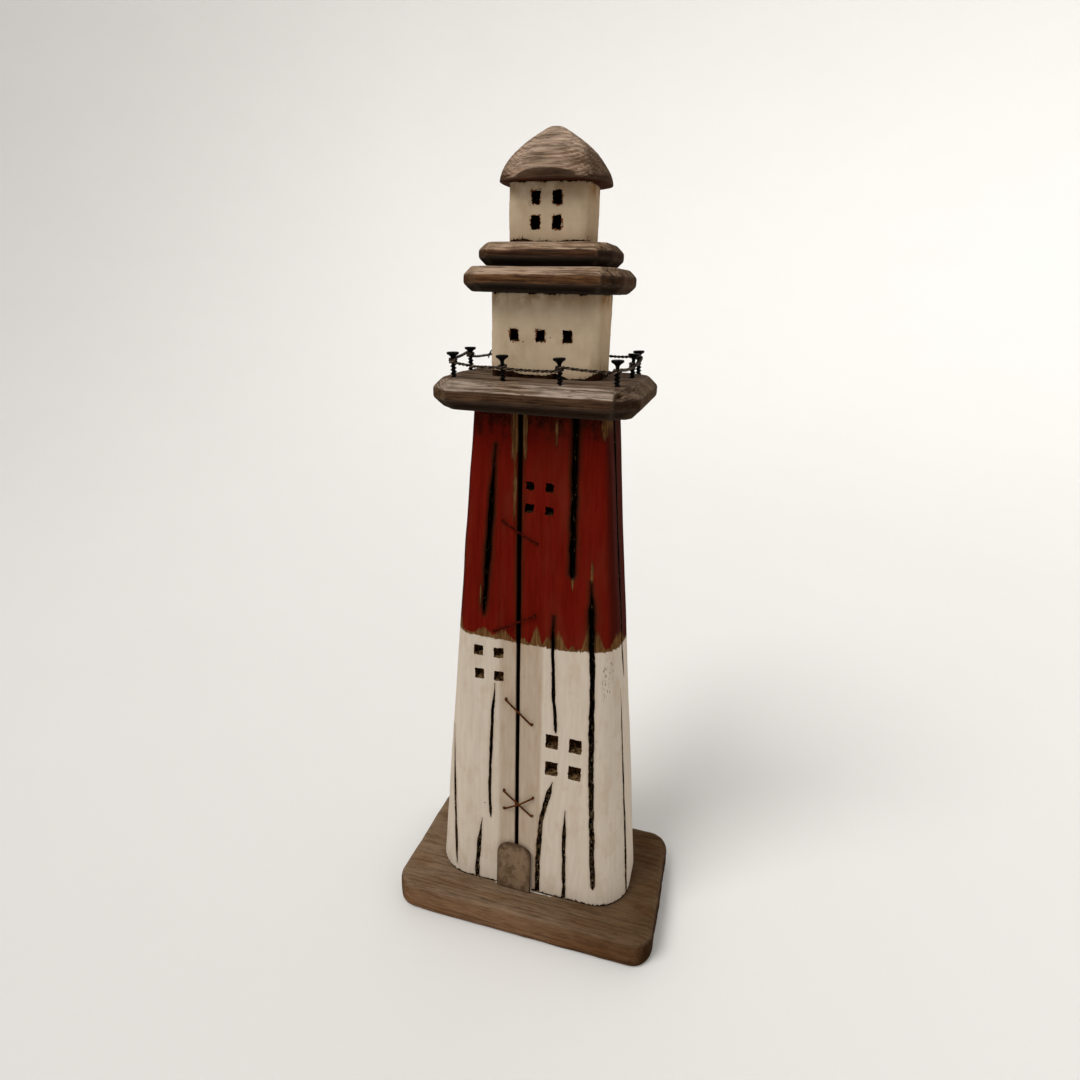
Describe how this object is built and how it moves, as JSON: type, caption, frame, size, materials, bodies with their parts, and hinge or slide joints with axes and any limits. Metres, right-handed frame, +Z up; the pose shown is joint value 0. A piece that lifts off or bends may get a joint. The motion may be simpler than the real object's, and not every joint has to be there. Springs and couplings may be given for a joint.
{
  "type": "lighthouse figurine",
  "caption": "Free-standing rustic wooden lighthouse ornament: tapered painted tower of two boards on a plank, gallery deck with a screw-and-wire rail, stacked rooms and a carved dome roof.",
  "frame": {"origin": "centre of the base plank's underside", "axes": "+Z up along the tower, -Y towards the front with the door, +X to the right seen from the front"},
  "size_m": [0.218, 0.126, 0.592],
  "materials": {
    "weathered_wood": "weathered grey-brown, open grain, matt",
    "tower_paint": "antique cream below and brick red above, brushed and worn, eggshell",
    "cream_paint": "antique cream paint, brushed, eggshell",
    "door_wood": "thin stained veneer, matt",
    "black_steel": "black phosphate, satin",
    "rusty_wire": "oxidised annealed binding wire, rough",
    "plated_steel": "yellow zinc plated, satin",
    "dowel_wood": "bare beech"
  },
  "bodies": {
    "root": {"base_board": "weathered_wood", "base_screw_1": "plated_steel", "base_screw_2": "plated_steel", "base_screw_3": "plated_steel", "base_screw_4": "plated_steel", "deck_board": "weathered_wood", "deck_screw_1": "plated_steel", "deck_screw_2": "plated_steel", "door_plaque": "door_wood", "lower_room": "cream_paint", "lower_slab": "weathered_wood", "rail_screw_1": "black_steel", "rail_screw_10": "black_steel", "rail_screw_2": "black_steel", "rail_screw_3": "black_steel", "rail_screw_4": "black_steel", "rail_screw_5": "black_steel", "rail_screw_6": "black_steel", "rail_screw_7": "black_steel", "rail_screw_8": "black_steel", "rail_screw_9": "black_steel", "rail_wire": "rusty_wire", "roof_cap": "weathered_wood", "roof_dowel": "dowel_wood", "room_dowel": "dowel_wood", "slab_dowel": "dowel_wood", "stitch_1": "rusty_wire", "stitch_2": "rusty_wire", "stitch_3": "rusty_wire", "stitch_4": "rusty_wire", "stitch_5": "rusty_wire", "tower_left_board": "tower_paint", "tower_right_board": "tower_paint", "upper_room": "cream_paint", "upper_slab": "weathered_wood"}
  },
  "joints": []
}
